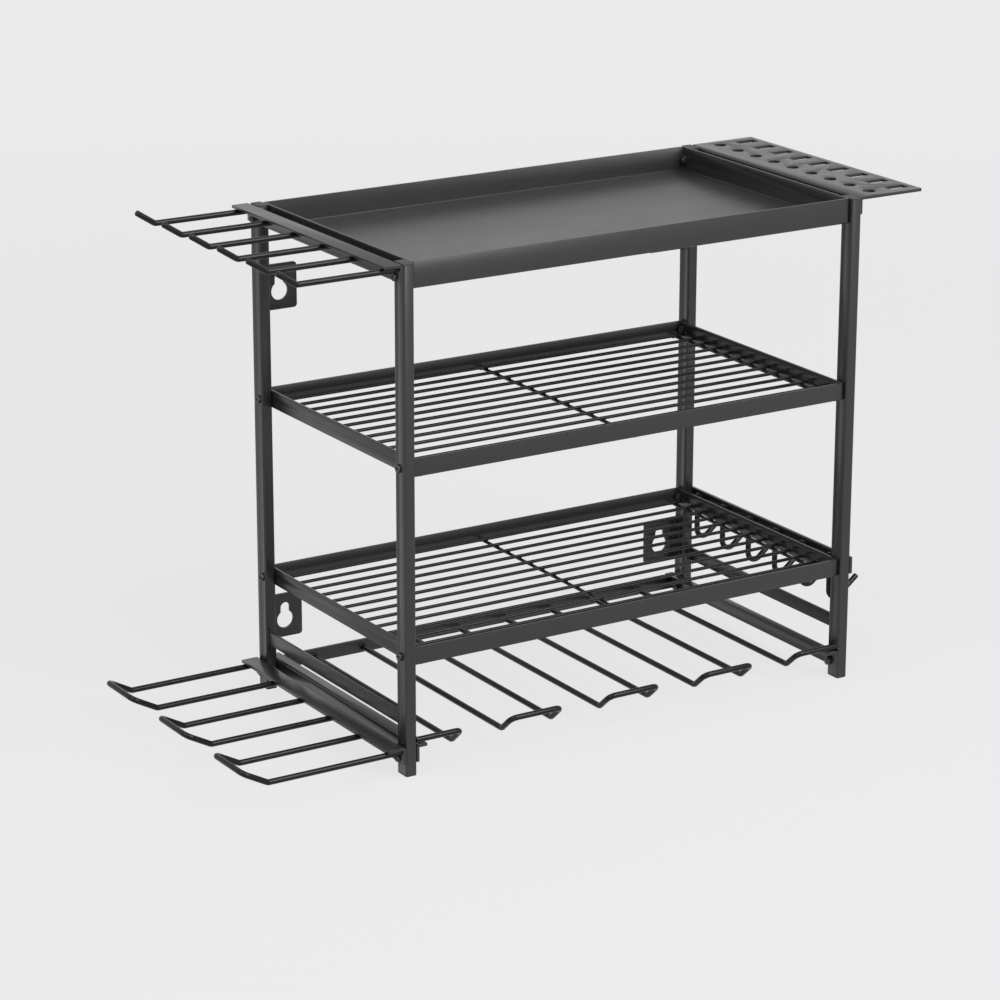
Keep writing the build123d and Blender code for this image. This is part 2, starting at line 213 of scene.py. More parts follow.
def endTree(tree, given, result, shape):
    # every tree ends in Realize Instances and Set Material
    solid = tree.nodes.new("GeometryNodeRealizeInstances")
    finish = tree.nodes.new("GeometryNodeSetMaterial")
    wire(tree, shape, solid.inputs["Geometry"])
    wire(tree, solid.outputs["Geometry"], finish.inputs["Geometry"])
    wire(tree, given.outputs["Finish"], finish.inputs["Material"])
    wire(tree, finish.outputs["Geometry"], result.inputs["Geometry"])


def roundRod(tree, given, spine):
    # a round rod along a line of vertices, as thick at each as its "thickness" says
    curve = tree.nodes.new("GeometryNodeMeshToCurve")
    thickness = tree.nodes.new("GeometryNodeInputNamedAttribute")
    thickness.data_type = "FLOAT"
    thickness.inputs["Name"].default_value = "thickness"
    circle = tree.nodes.new("GeometryNodeCurvePrimitiveCircle")
    circle.inputs["Radius"].default_value = 0.5
    rod = tree.nodes.new("GeometryNodeCurveToMesh")
    rod.inputs["Fill Caps"].default_value = True
    wire(tree, spine, curve.inputs["Mesh"])
    wire(tree, given.outputs["Sides"], circle.inputs["Resolution"])
    wire(tree, curve.outputs["Curve"], rod.inputs["Curve"])
    wire(tree, circle.outputs["Curve"], rod.inputs["Profile Curve"])
    wire(tree, thickness.outputs["Attribute"], rod.inputs["Scale"])
    return rod.outputs["Mesh"]


def bentRodTree():
    tree, given, result = newTree(
        "bentRod", [("Sides", "NodeSocketInt", 20), ("Finish", "NodeSocketMaterial", None)]
    )
    endTree(tree, given, result, roundRod(tree, given, given.outputs["Geometry"]))
    return tree


def wireRowTree():
    # the same rod again and again, side by side
    tree, given, result = newTree(
        "wireRow",
        [
            ("Sides", "NodeSocketInt", 16),
            ("Count", "NodeSocketInt", 13),
            ("Step", "NodeSocketVector", (0, 0.02, 0)),
            ("Finish", "NodeSocketMaterial", None),
        ],
    )
    row = tree.nodes.new("GeometryNodeMeshLine")
    row.mode = "OFFSET"
    wire(tree, given.outputs["Count"], row.inputs["Count"])
    wire(tree, given.outputs["Step"], row.inputs["Offset"])
    copies = tree.nodes.new("GeometryNodeInstanceOnPoints")
    wire(tree, row.outputs["Mesh"], copies.inputs["Points"])
    wire(tree, roundRod(tree, given, given.outputs["Geometry"]), copies.inputs["Instance"])
    endTree(tree, given, result, copies.outputs["Instances"])
    return tree


def setOutTree():
    # one shape on every vertex, turned as "turn" says and spun about its own axis at random
    tree, given, result = newTree(
        "setOut",
        [
            ("Shape", "NodeSocketObject", None),
            ("Spin", "NodeSocketFloat", 0.0),
            ("Seed", "NodeSocketInt", 7),
            ("Finish", "NodeSocketMaterial", None),
        ],
    )
    source = tree.nodes.new("GeometryNodeObjectInfo")
    wire(tree, given.outputs["Shape"], source.inputs["Object"])
    turn = tree.nodes.new("GeometryNodeInputNamedAttribute")
    turn.data_type = "FLOAT_VECTOR"
    turn.inputs["Name"].default_value = "turn"
    copies = tree.nodes.new("GeometryNodeInstanceOnPoints")
    wire(tree, given.outputs["Geometry"], copies.inputs["Points"])
    wire(tree, source.outputs["Geometry"], copies.inputs["Instance"])
    wire(tree, turn.outputs["Attribute"], copies.inputs["Rotation"])
    chance = tree.nodes.new("FunctionNodeRandomValue")
    chance.data_type = "FLOAT"
    wire(tree, given.outputs["Spin"], chance.inputs[3])
    wire(tree, given.outputs["Seed"], chance.inputs["Seed"])
    angles = tree.nodes.new("ShaderNodeCombineXYZ")
    wire(tree, chance.outputs[1], angles.inputs["Z"])
    spun = tree.nodes.new("GeometryNodeRotateInstances")
    wire(tree, copies.outputs["Instances"], spun.inputs["Instances"])
    wire(tree, angles.outputs[0], spun.inputs["Rotation"])
    endTree(tree, given, result, spun.outputs["Instances"])
    return tree


bentRod = bentRodTree()
wireRow = wireRowTree()
setOut = setOutTree()


def linked(name, mesh):
    made = bpy.data.objects.new(name, mesh)
    bpy.context.scene.collection.objects.link(made)
    return made


def grown(source, tree, values):
    # sets a tree's inputs by identifier, evaluates it once and keeps the plain mesh
    modifier = source.modifiers.new(tree.name, "NODES")
    modifier.node_group = tree
    sockets = {item.name: item.identifier for item in tree.interface.items_tree if item.in_out == "INPUT"}
    for name, value in values.items():
        modifier[sockets[name]] = value
    bpy.context.view_layer.update()
    mesh = bpy.data.meshes.new_from_object(source.evaluated_get(bpy.context.evaluated_depsgraph_get()))
    source.modifiers.remove(modifier)
    source.data = mesh
    return source


creases = {"sheet": 40.0, "rod": 50.0, "fastener": 38.0, "weld": 80.0}  # degrees from which an edge is sharp


def smoothed(piece, kind):
    piece.data.shade_smooth()
    piece.data.set_sharp_from_angle(angle=math.radians(creases[kind]))


def finished(piece, finish, *nodes):
    # hangs the piece on the body, with its slot and the CAD nodes it stands for
    if not piece.data.materials:
        piece.data.materials.append(materials[finish])
    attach(piece, "root")
    if nodes:
        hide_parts(*nodes)
    return piece


sheetEdge = {
    "softness": 0.28,
    "segments": 2,
    "angle": 32.0,
    "mergeWithin": 0.002,
    "flatWithin": 0.5,  # degrees
}


def softCopy(node):
    # the CAD piece with its edges broken as coated steel has them
    mesh = bpy.data.meshes.new(node + "Look")
    shape = bmesh.new()
    shape.from_mesh(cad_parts[node].data)
    bmesh.ops.remove_doubles(shape, verts=shape.verts, dist=sheetEdge["mergeWithin"] * mm)
    flat = math.radians(sheetEdge["flatWithin"])
    bmesh.ops.dissolve_limit(shape, angle_limit=flat, verts=shape.verts, edges=shape.edges)
    shape.to_mesh(mesh)
    shape.free()
    piece = linked(node + "_look", mesh)
    soften = piece.modifiers.new("soften", "BEVEL")
    soften.width = sheetEdge["softness"] * mm
    soften.segments = sheetEdge["segments"]
    soften.limit_method = "ANGLE"
    soften.angle_limit = math.radians(sheetEdge["angle"])
    soften.miter_outer = "MITER_ARC"
    level = piece.modifiers.new("level", "WEIGHTED_NORMAL")
    level.keep_sharp = True
    bpy.context.view_layer.update()
    baked = bpy.data.meshes.new_from_object(piece.evaluated_get(bpy.context.evaluated_depsgraph_get()))
    piece.modifiers.clear()
    piece.data = baked
    piece.data.materials.clear()
    smoothed(piece, "sheet")
    return finished(piece, "coatedSheet", node)


sheetNodes = ["top_tray", "middle_shelf_frame", "bottom_shelf_frame", "hook_rail", "screwdriver_rack"]
sheetNodes += ["wrench_rail", "drill_rail_rear", "side_drill_rail"]
for side in ("left", "right"):
    sheetNodes += [f"post_front_{side}", f"post_rear_{side}", f"brace_{side}", f"drill_rail_{side}"]
    sheetNodes += [f"wall_plate_lower_{side}", f"wall_plate_upper_{side}"]
for node in sheetNodes:
    softCopy(node)
print("sheet, tube and bar softened:", len(sheetNodes))

rods = {
    "thickness": 5.0,
    "bendRadius": 6.0,
    "bendSteps": 8,
    "tipRounding": 1.2,
    "weldLeg": 1.1,  # the bead's foot around a rod's root
    "weldWidth": 0.9,  # share of the leg that the bead stands out from the rod
    "weldPower": 0.8,  # of its profile; 1 is a straight slope and less is fuller
    "endSteps": 5,
    "sides": 24,
}


def bentPath(corners):
    # corners joined by tangent arcs
    radius = rods["bendRadius"] * mm
    steps = rods["bendSteps"]
    points = [Vector(corners[0])]
    for before, corner, after in zip(corners, corners[1:], corners[2:]):
        corner = Vector(corner)
        inward = (Vector(before) - corner).normalized()
        outward = (Vector(after) - corner).normalized()
        half = inward.angle(outward) / 2
        reach = radius / math.tan(half)
        centre = corner + (inward + outward).normalized() * (radius / math.sin(half))
        first = corner + inward * reach - centre
        axis = first.cross(corner + outward * reach - centre).normalized()
        sweep = math.pi - 2 * half
        points += [centre + Matrix.Rotation(sweep * i / steps, 3, axis) @ first for i in range(steps + 1)]
    return points + [Vector(corners[-1])]


def along(start, towards, distance):
    return start + (towards - start).normalized() * distance


def quarterTurn(steps):
    return [math.pi / 2 * i / steps for i in range(steps + 1)]


def endProfile(kind, thickness):
    # distances from an end of the rod, with the rod's thickness there
    turns = quarterTurn(rods["endSteps"])
    if kind == "tip":
        rounding = rods["tipRounding"] * mm
        return [(rounding * (1 - math.cos(a)), thickness - 2 * rounding * (1 - math.sin(a))) for a in turns]
    if kind == "weld":
        leg = rods["weldLeg"] * mm
        power, width = rods["weldPower"], rods["weldWidth"]
        return [(leg * math.sin(a), thickness + 2 * leg * (1 - math.sin(a)) ** power * width) for a in turns]
    return [(0.0, thickness)]


def rodSpine(name, paths, thickness, ends):
    # one line of vertices for each rod, with the thickness that its ends need
    mesh = bpy.data.meshes.new(name)
    points, edges, widths = [], [], []
    for path in paths:
        head = [(along(path[0], path[1], d), w) for d, w in endProfile(ends[0], thickness)]
        tail = [(along(path[-1], path[-2], d), w) for d, w in endProfile(ends[1], thickness)]
        full = head + [(p, thickness) for p in path[1:-1]] + tail[::-1]
        edges += [(len(points) + i, len(points) + i + 1) for i in range(len(full) - 1)]
        points += [p for p, w in full]
        widths += [w for p, w in full]
    mesh.from_pydata(points, edges, [])
    mesh.attributes.new("thickness", "FLOAT", "POINT").data.foreach_set("value", widths)
    return linked(name, mesh)


def rodPiece(node, path, ends):
    piece = grown(
        rodSpine(node + "_look", [path], rods["thickness"] * mm, ends),
        bentRod,
        {"Sides": rods["sides"], "Finish": materials["coatedWire"]},
    )
    smoothed(piece, "rod")
    return finished(piece, "coatedWire", node)


half = rods["thickness"] * mm / 2
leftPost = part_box("post_front_left")

hooks = {"count": 6, "reach": 92.0, "tipRun": 17.0, "tipRise": 11.0}


def hookPiece(number):
    node = f"hook_{number}"
    low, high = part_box(node)
    y = (low.y + high.y) / 2
    z = low.z + half
    bendX = leftPost[0].x - hooks["reach"] * mm
    tip = (bendX - hooks["tipRun"] * mm, y, z + hooks["tipRise"] * mm)
    rodPiece(node, bentPath([(high.x, y, z), (bendX, y, z), tip]), ("weld", "tip"))


wrenchHooks = {"count": 6, "bendRadius": 7.5, "tipLength": 23.2, "tipAngle": 39.0, "bendSteps": 14}


def wrenchHookPiece(number):
    # a straight leg, an arc under the rail and a straight raised tip
    node = f"wrench_hook_{number}"
    low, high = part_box(node)
    y = (low.y + high.y) / 2
    x = low.x + half
    radius = wrenchHooks["bendRadius"] * mm
    centre = Vector((x + radius, y, low.z + half + radius))
    slope = math.radians(wrenchHooks["tipAngle"])
    sweep = math.pi / 2 + slope
    turns = [sweep * i / wrenchHooks["bendSteps"] for i in range(wrenchHooks["bendSteps"] + 1)]
    arc = [centre - radius * Vector((math.cos(a), 0, math.sin(a))) for a in turns]
    tip = arc[-1] + wrenchHooks["tipLength"] * mm * Vector((math.cos(slope), 0, math.sin(slope)))
    rodPiece(node, [Vector((x, y, high.z))] + arc + [tip], ("tip", "tip"))


frontForks = {"count": 5, "bendRun": 15.4}


def frontForkPiece(number):
    node = f"drill_fork_{number}"
    low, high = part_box(node)
    armZ, barZ = low.z + half, high.z - half
    barY = low.y + half
    bendY = barY + frontForks["bendRun"] * mm
    left, right = low.x + half, high.x - half
    leftArm = [(left, high.y, armZ), (left, bendY, armZ), (left, barY, barZ)]
    rightArm = [(right, barY, barZ), (right, bendY, armZ), (right, high.y, armZ)]
    ends = ["weld", "weld"]
    if number == 1:
        leftArm, ends[0] = [(low.x, barY, barZ)], "butt"
    if number == frontForks["count"]:
        rightArm, ends[1] = [(high.x, barY, barZ)], "butt"
    rodPiece(node, bentPath(leftArm + rightArm), ends)


sideForks = {"count": 3, "tipRun": 22.5}


def sideForkPiece(number):
    node = f"side_drill_fork_{number}"
    low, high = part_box(node)
    armZ, barZ = low.z + half, high.z - half
    barX = low.x + half
    bendX = barX + sideForks["tipRun"] * mm
    near, far = low.y + half, high.y - half
    nearArm = [(high.x, near, armZ), (bendX, near, armZ), (barX, near, barZ)]
    farArm = [(barX, far, barZ), (bendX, far, armZ), (high.x, far, armZ)]
    rodPiece(node, bentPath(nearArm + farArm), ("weld", "weld"))


for number in range(1, hooks["count"] + 1):
    hookPiece(number)
for number in range(1, wrenchHooks["count"] + 1):
    wrenchHookPiece(number)
for number in range(1, frontForks["count"] + 1):
    frontForkPiece(number)
for number in range(1, sideForks["count"] + 1):
    sideForkPiece(number)
print("hooks and forks bent")

shelfWires = {"thickness": 3.0, "longCount": 13, "crossCount": 3, "sides": 16}


def wireSet(node, count, axis, across):
    low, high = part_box(node)
    thickness = shelfWires["thickness"] * mm
    start = low.copy()
    end = low.copy()
    start.z = end.z = (low.z + high.z) / 2
    start[across] = end[across] = low[across] + thickness / 2
    end[axis] = high[axis]
    step = Vector((0, 0, 0))
    step[across] = (high[across] - low[across] - thickness) / (count - 1)
    piece = grown(
        rodSpine(node + "_look", [[start, (start + end) / 2, end]], thickness, ("weld", "weld")),
        wireRow,
        {"Sides": shelfWires["sides"], "Count": count, "Step": step, "Finish": materials["coatedWire"]},
    )
    smoothed(piece, "rod")
    return finished(piece, "coatedWire", node)


for shelf in ("middle_shelf", "bottom_shelf"):
    wireSet(shelf + "_wires", shelfWires["longCount"], 0, 1)
    wireSet(shelf + "_cross_wires", shelfWires["crossCount"], 1, 0)
print("shelf wires laid")


def turned(name, rings, radiusAt, heightAt, segments):
    # closed rings about +Z; radiusAt and heightAt take the ring and the angle
    mesh = bpy.data.meshes.new(name)
    shape = bmesh.new()
    rows = []
    for ring in rings:
        row = []
        for i in range(segments):
            angle = 2 * math.pi * i / segments
            r, z = radiusAt(ring, angle), heightAt(ring, angle)
            row.append(shape.verts.new((r * math.cos(angle) * mm, r * math.sin(angle) * mm, z * mm)))
        rows.append(row)
    for lower, upper in zip(rows, rows[1:]):
        for i in range(segments):
            j = (i + 1) % segments
            shape.faces.new((lower[i], lower[j], upper[j], upper[i]))
    shape.faces.new(rows[0][::-1])
    shape.faces.new(rows[-1])
    bmesh.ops.recalc_face_normals(shape, faces=shape.faces)
    shape.to_mesh(mesh)
    shape.free()
    return linked(name, mesh)


screws = {
    "headRadius": 3.5,
    "headHeight": 2.2,
    "shoulder": 1.0,  # radius where the head's flat top rolls over
    "shankRadius": 2.0,
    "threadPitch": 0.7,
    "threadDepth": 0.25,
    "threadLength": 6.0,
    "threadSteps": 8,  # rings for each turn
    "pointLength": 0.6,
    "pointStart": 0.35,
    "pointLeast": 0.72,  # share of the radius that the end keeps
    "recessLength": 2.1,
    "recessWidth": 0.55,
    "recessDepth": 1.2,
    "recessEnd": 0.25,  # share of the depth at the ends of the cross
    "segments": 48,
    "shankSegments": 20,
    "rollSteps": 5,
    "topRings": 12,
    "firstSeed": 3,
    "seedStep": 11,
}


def crossDepth(x, y):
    # how deep the cross recess is at a point of the head
    arm = screws["recessLength"]
    width = screws["recessWidth"]
    reach = max(abs(x), abs(y))
    side = min(abs(x), abs(y))
    if reach > arm or (side > width and reach > width):
        return 0.0
    taper = 1 - max(0.0, reach - width) / (arm - width)
    return screws["recessDepth"] * min(1.0, screws["recessEnd"] + taper)


def screwHead():
    # pan head with a cross recess, its underside at Z = 0
    top, roll = screws["headHeight"], screws["shoulder"]
    radius = screws["headRadius"]
    rings = [("side", 0.0), ("side", top - roll)]
    rings += [("roll", a) for a in quarterTurn(screws["rollSteps"])[1:]]
    flat = radius - roll
    rings += [("top", flat * (1 - i / screws["topRings"])) for i in range(1, screws["topRings"])]

    def radiusAt(ring, angle):
        kind, value = ring
        if kind == "side":
            return radius
        if kind == "roll":
            return flat + roll * math.cos(value)
        return value

    def heightAt(ring, angle):
        kind, value = ring
        if kind == "side":
            return value
        if kind == "roll":
            return top - roll + roll * math.sin(value)
        return top - crossDepth(value * math.cos(angle), value * math.sin(angle))

    return turned("screwHead", rings, radiusAt, heightAt, screws["segments"])


def screwShank(length):
    # shank below Z = 0 whose last turns carry the thread
    pitch, depth = screws["threadPitch"], screws["threadDepth"]
    threaded = screws["threadLength"]
    count = int(threaded / pitch * screws["threadSteps"])
    rings = [0.0] + [-(length - threaded) - threaded * i / count for i in range(count + 1)]

    def radiusAt(ring, angle):
        body = screws["shankRadius"]
        if ring > -(length - threaded):
            return body
        phase = (ring / pitch + angle / (2 * math.pi)) % 1.0
        crest = abs(2 * phase - 1)
        point = min(1.0, (ring + length) / screws["pointLength"] + screws["pointStart"])
        return (body - depth * crest) * max(screws["pointLeast"], point)

    return turned("screwShank", rings, radiusAt, lambda ring, angle: ring, screws["shankSegments"])


def joined(name, parts):
    shape = bmesh.new()
    for part in parts:
        shape.from_mesh(part.data)
        bpy.data.objects.remove(part)
    mesh = bpy.data.meshes.new(name)
    shape.to_mesh(mesh)
    shape.free()
    return linked(name, mesh)


def joinedPiece(node, parts, finish):
    # several grown meshes that stand for one CAD node
    piece = joined(node + "_look", parts)
    smoothed(piece, "fastener")
    return finished(piece, finish, node)


def setOutMesh(name, template, places, finish, seed=None):
    # a seed spins each copy about its own axis
    mesh = bpy.data.meshes.new(name)
    mesh.from_pydata([p for p, t in places], [], [])
    turns = [v for p, t in places for v in t]
    mesh.attributes.new("turn", "FLOAT_VECTOR", "POINT").data.foreach_set("vector", turns)
    spin = 0.0 if seed is None else math.pi
    values = {"Shape": template, "Spin": spin, "Seed": seed or 0, "Finish": materials[finish]}
    return grown(linked(name, mesh), setOut, values)


outward = {-1: (0, -math.pi / 2, 0), 1: (0, math.pi / 2, 0)}


def sidePlaces(node, radius, height, sides):
    # where one height's screws or nuts sit, their outer ends on the sides of the node's box
    low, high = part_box(node)
    z = (low.z + high.z) / 2
    x = {-1: low.x + height * mm, 1: high.x - height * mm}
    rows = (low.y + radius * mm, high.y - radius * mm)
    return [((x[side], y, z), outward[side]) for y in rows for side in sides]


screwLengths = {
    "top_tray_screws": {-1: 18.2, 1: 18.2},
    "middle_shelf_screws": {-1: 15.7, 1: 15.7},
    "bottom_shelf_screws": {-1: 15.7, 1: 18.2},
    "drill_rail_screws": {-1: 19.2, 1: 16.7},
}


def screwPiece(node, seed):
    # heads outwards on both sides of the rack
    parts = []
    for side in (-1, 1):
        length = screwLengths[node][side]
        template = joined(f"screw{length:.0f}", [screwHead(), screwShank(length)])
        places = sidePlaces(node, screws["headRadius"], screws["headHeight"], [side])
        parts.append(setOutMesh(f"{node}{side}", template, places, "blackZinc", seed + side))
        bpy.data.objects.remove(template)
    joinedPiece(node, parts, "blackZinc")


nuts = {
    "acrossFlats": 7.0,
    "height": 3.2,
    "faceInset": 0.1,  # how far the flat face stays inside the flats
    "chamferAngle": 30.0,
    "bore": 4.06,
    "segments": 48,
}


def hexNut():
    # standing on Z = 0, both faces chamfered and the bore left open
    flat = nuts["acrossFlats"] / 2
    face = flat - nuts["faceInset"]
    slope = math.tan(math.radians(nuts["chamferAngle"]))

    def corner(angle):
        return flat / math.cos((angle % (math.pi / 3)) - math.pi / 6)

    rings = ["boreLow", "faceLow", "edgeLow", "edgeHigh", "faceHigh", "boreHigh"]

    def radiusAt(ring, angle):
        if ring.startswith("bore"):
            return nuts["bore"] / 2
        if ring.startswith("face"):
            return face
        return corner(angle)

    def heightAt(ring, angle):
        drop = (corner(angle) - face) * slope if ring.startswith("edge") else 0.0
        return drop if ring.endswith("Low") else nuts["height"] - drop

    shape = turned("hexNut", rings, radiusAt, heightAt, nuts["segments"])
    made = bmesh.new()
    made.from_mesh(shape.data)
    ends = [f for f in made.faces if len(f.verts) > 4]
    bmesh.ops.delete(made, geom=ends, context="FACES_ONLY")
    made.edges.ensure_lookup_table()
    rims = [e for e in made.edges if e.is_boundary]
    bmesh.ops.bridge_loops(made, edges=rims)
    bmesh.ops.recalc_face_normals(made, faces=made.faces)
    made.to_mesh(shape.data)
    made.free()
    return shape


def nutPiece(node):
    places = sidePlaces(node, nuts["acrossFlats"] / 2, nuts["height"], [-1, 1])
    template = hexNut()
    part = setOutMesh(node + "Set", template, places, "blackZinc")
    bpy.data.objects.remove(template)
    joinedPiece(node, [part], "blackZinc")


for number, node in enumerate(screwLengths):
    screwPiece(node, screws["seedStep"] * number + screws["firstSeed"])
for node in ("top_tray_nuts", "middle_shelf_nuts", "bottom_shelf_nuts", "drill_rail_nuts"):
    nutPiece(node)
print("screws and nuts set")

plugs = {
    "headHeight": 1.5,
    "rounding": 0.5,
    "cornerRadius": 1.6,
    "leastCorner": 0.3,
    "insert": 6.0,
    "insertInset": 1.3,
    "insertWall": 1.2,
    "leadIn": 0.5,
    "leadInLength": 0.8,
    "ribs": 4,
    "firstRib": -4.6,
    "ribPitch": 1.2,
    "ribDepth": 0.35,
    "ribStart": 0.2,
    "ribEnd": 0.6,
    "roundSteps": 5,
    "segments": 56,
}


def roundedEdge(width, depth, corner, angle):
    # distance from the middle to the edge of a rounded rectangle
    c, s = abs(math.cos(angle)), abs(math.sin(angle))
    x, y = width / 2 - corner, depth / 2 - corner
    least = 1e-9  # keeps the divisions finite
    reach = min((width / 2) / max(c, least), (depth / 2) / max(s, least))
    if reach * c > x and reach * s > y:
        centreReach = x * c + y * s
        reach = centreReach + math.sqrt(max(0.0, corner**2 - (x * s - y * c) ** 2))
    return reach


def plugShape(width, depth):
    # head on top of the tube and a hollow ribbed insert below Z = 0
    top, rounding = plugs["headHeight"], plugs["rounding"]
    inset = plugs["insertInset"]
    hollow = inset + plugs["insertWall"]
    end = -plugs["insert"]
    rings = [(0.0, hollow), (end, hollow)]
    rings += [(end, inset + plugs["leadIn"]), (end + plugs["leadInLength"], inset)]
    for i in range(plugs["ribs"]):
        z = plugs["firstRib"] + plugs["ribPitch"] * i
        rings.append((z, inset + plugs["ribDepth"]))
        rings += [(z + plugs["ribStart"], inset), (z + plugs["ribEnd"], inset)]
    rings += [(0.0, inset), (0.0, 0.0), (top - rounding, 0.0)]
    for a in quarterTurn(plugs["roundSteps"])[1:]:
        rings.append((top - rounding + rounding * math.sin(a), rounding * (1 - math.cos(a))))

    def radiusAt(ring, angle):
        inwards = ring[1]
        corner = max(plugs["leastCorner"], plugs["cornerRadius"] - inwards)
        return roundedEdge(width - 2 * inwards, depth - 2 * inwards, corner, angle)

    return turned("plug", rings, radiusAt, lambda ring, angle: ring[0], plugs["segments"])


def plugPiece(node, z, turn):
    # one plug at that end of each post, its head's underside at z
    low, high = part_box(node)
    width, depth = leftPost[1].x - leftPost[0].x, leftPost[1].y - leftPost[0].y
    sideX = (low.x + width / 2, high.x - width / 2)
    endY = (low.y + depth / 2, high.y - depth / 2)
    places = [((x, y, z), turn) for x in sideX for y in endY]
    template = plugShape(width / mm, depth / mm)
    part = setOutMesh(node + "Set", template, places, "blackPlastic")
    bpy.data.objects.remove(template)
    joinedPiece(node, [part], "blackPlastic")


headHeight = plugs["headHeight"] * mm
plugPiece("post_plugs_top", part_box("post_plugs_top")[1].z - headHeight, (0, 0, 0))
plugPiece("post_plugs_bottom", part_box("post_plugs_bottom")[0].z + headHeight, (math.pi, 0, 0))
print("plugs pressed in")

welds = {
    "bead": 0.85,
    "pitch": 0.9,
    "jitter": 0.16,
    "dropSegments": 8,
    "dropRings": 6,
    "plateInset": 4.0,  # from the plates' ends to the beads' ends
    "legSink": 0.35,  # from the rail's face into the gap beside a leg
    "legOffset": 1.7,
    "legInset": 1.5,
    "barFront": 1.2,
    "barRear": 2.0,
}


def weldBeadTree():
    # overlapping drops along each line, as a small weld bead has under its coat
    tree, given, result = newTree(
        "weldBead",
        [
            ("Bead", "NodeSocketFloat", 0.001),
            ("Pitch", "NodeSocketFloat", 0.001),
            ("Jitter", "NodeSocketFloat", 0.1),
            ("Seed", "NodeSocketInt", 5),
            ("Finish", "NodeSocketMaterial", None),
        ],
    )
    lines = tree.nodes.new("GeometryNodeMeshToCurve")
    steps = tree.nodes.new("GeometryNodeResampleCurve")
    steps.mode = "LENGTH"
    drop = tree.nodes.new("GeometryNodeMeshUVSphere")
    drop.inputs["Segments"].default_value = welds["dropSegments"]
    drop.inputs["Rings"].default_value = welds["dropRings"]
    low = tree.nodes.new("ShaderNodeMath")
    low.operation = "SUBTRACT"
    low.inputs[0].default_value = 1.0
    high = tree.nodes.new("ShaderNodeMath")
    high.operation = "ADD"
    high.inputs[0].default_value = 1.0
    chance = tree.nodes.new("FunctionNodeRandomValue")
    chance.data_type = "FLOAT"
    copies = tree.nodes.new("GeometryNodeInstanceOnPoints")
    wire(tree, given.outputs["Geometry"], lines.inputs["Mesh"])
    wire(tree, lines.outputs["Curve"], steps.inputs["Curve"])
    wire(tree, given.outputs["Pitch"], steps.inputs["Length"])
    wire(tree, given.outputs["Bead"], drop.inputs["Radius"])
    wire(tree, given.outputs["Jitter"], low.inputs[1])
    wire(tree, given.outputs["Jitter"], high.inputs[1])
    wire(tree, low.outputs[0], chance.inputs[2])
    wire(tree, high.outputs[0], chance.inputs[3])
    wire(tree, given.outputs["Seed"], chance.inputs["Seed"])
    wire(tree, steps.outputs["Curve"], copies.inputs["Points"])
    wire(tree, drop.outputs["Mesh"], copies.inputs["Instance"])
    wire(tree, chance.outputs[1], copies.inputs["Scale"])
    endTree(tree, given, result, copies.outputs["Instances"])
    return tree


def plateWelds():
    # down both corners between each keyhole plate and its post
    inset = welds["plateInset"] * mm
    lines = []
    for side in ("left", "right"):
        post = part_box(f"post_rear_{side}")
        inner = post[1].x if side == "left" else post[0].x
        for level in ("lower", "upper"):
            low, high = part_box(f"wall_plate_{level}_{side}")
            outer = low.x if side == "left" else high.x
            for x, y in ((inner, low.y), (outer, post[1].y)):
                lines.append(((x, y, low.z + inset), (x, y, high.z - inset)))
    return lines


def braceWelds():
    lines = []
    for side in ("left", "right"):
        low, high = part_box(f"brace_{side}")
        for y in (low.y, high.y):
            for x in (low.x, high.x):
                lines.append(((x, y, low.z), (x, y, high.z)))
    return lines


def wrenchHookWelds():
    # both sides of each leg, where it lies on the rail
    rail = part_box("wrench_rail")
    x = rail[0].x - welds["legSink"] * mm
    inset = welds["legInset"] * mm
    lines = []
    for number in range(1, wrenchHooks["count"] + 1):
        low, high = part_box(f"wrench_hook_{number}")
        for offset in (-welds["legOffset"] * mm, welds["legOffset"] * mm):
            y = (low.y + high.y) / 2 + offset
            lines.append(((x, y, rail[0].z + inset), (x, y, high.z - inset)))
    return lines


def rearRailWelds():
    low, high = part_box("drill_rail_rear")
    return [((x, low.y, low.z), (x, low.y, high.z)) for x in (low.x, high.x)]


def forkBarWelds():
    # over and under the outer forks' bars, where they end on the front posts
    front, rear = welds["barFront"] * mm, welds["barRear"] * mm
    lines = []
    for number, side in ((1, 0), (frontForks["count"], 1)):
        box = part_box(f"drill_fork_{number}")
        x, y, z = box[side].x, box[0].y + half, box[1].z - half
        for offset in (-half, half):
            lines.append(((x, y - front, z + offset), (x, y + rear, z + offset)))
    return lines


weldBead = weldBeadTree()
weldLines = plateWelds() + braceWelds() + wrenchHookWelds() + rearRailWelds() + forkBarWelds()
weldMesh = bpy.data.meshes.new("welds")
weldMesh.from_pydata(
    [p for line in weldLines for p in line],
    [(2 * i, 2 * i + 1) for i in range(len(weldLines))],
    [],
)
weldValues = {
    "Bead": welds["bead"] * mm,
    "Pitch": welds["pitch"] * mm,
    "Jitter": welds["jitter"],
    "Finish": materials["coatedSheet"],
}
weldPiece = grown(linked("weld_beads", weldMesh), weldBead, weldValues)
smoothed(weldPiece, "weld")
finished(weldPiece, "coatedSheet")


weldDots = {"width": 1.7, "height": 1.1, "pole": 75, "ringStep": 30, "segments": 10, "seed": 17}


def weldDot():
    # a flat drop that fills the corner between two crossing wires
    rings = [math.radians(a) for a in range(-weldDots["pole"], weldDots["pole"] + 1, weldDots["ringStep"])]
    return turned(
        "weldDot",
        rings,
        lambda a, angle: weldDots["width"] * math.cos(a),
        lambda a, angle: weldDots["height"] / 2 * math.sin(a),
        weldDots["segments"],
    )


def wireMiddles(low, high, count):
    # places of a shelf's wires between the first and the last one's outer sides
    first = low + shelfWires["thickness"] * mm / 2
    last = high - shelfWires["thickness"] * mm / 2
    return [first + (last - first) * i / (count - 1) for i in range(count)]


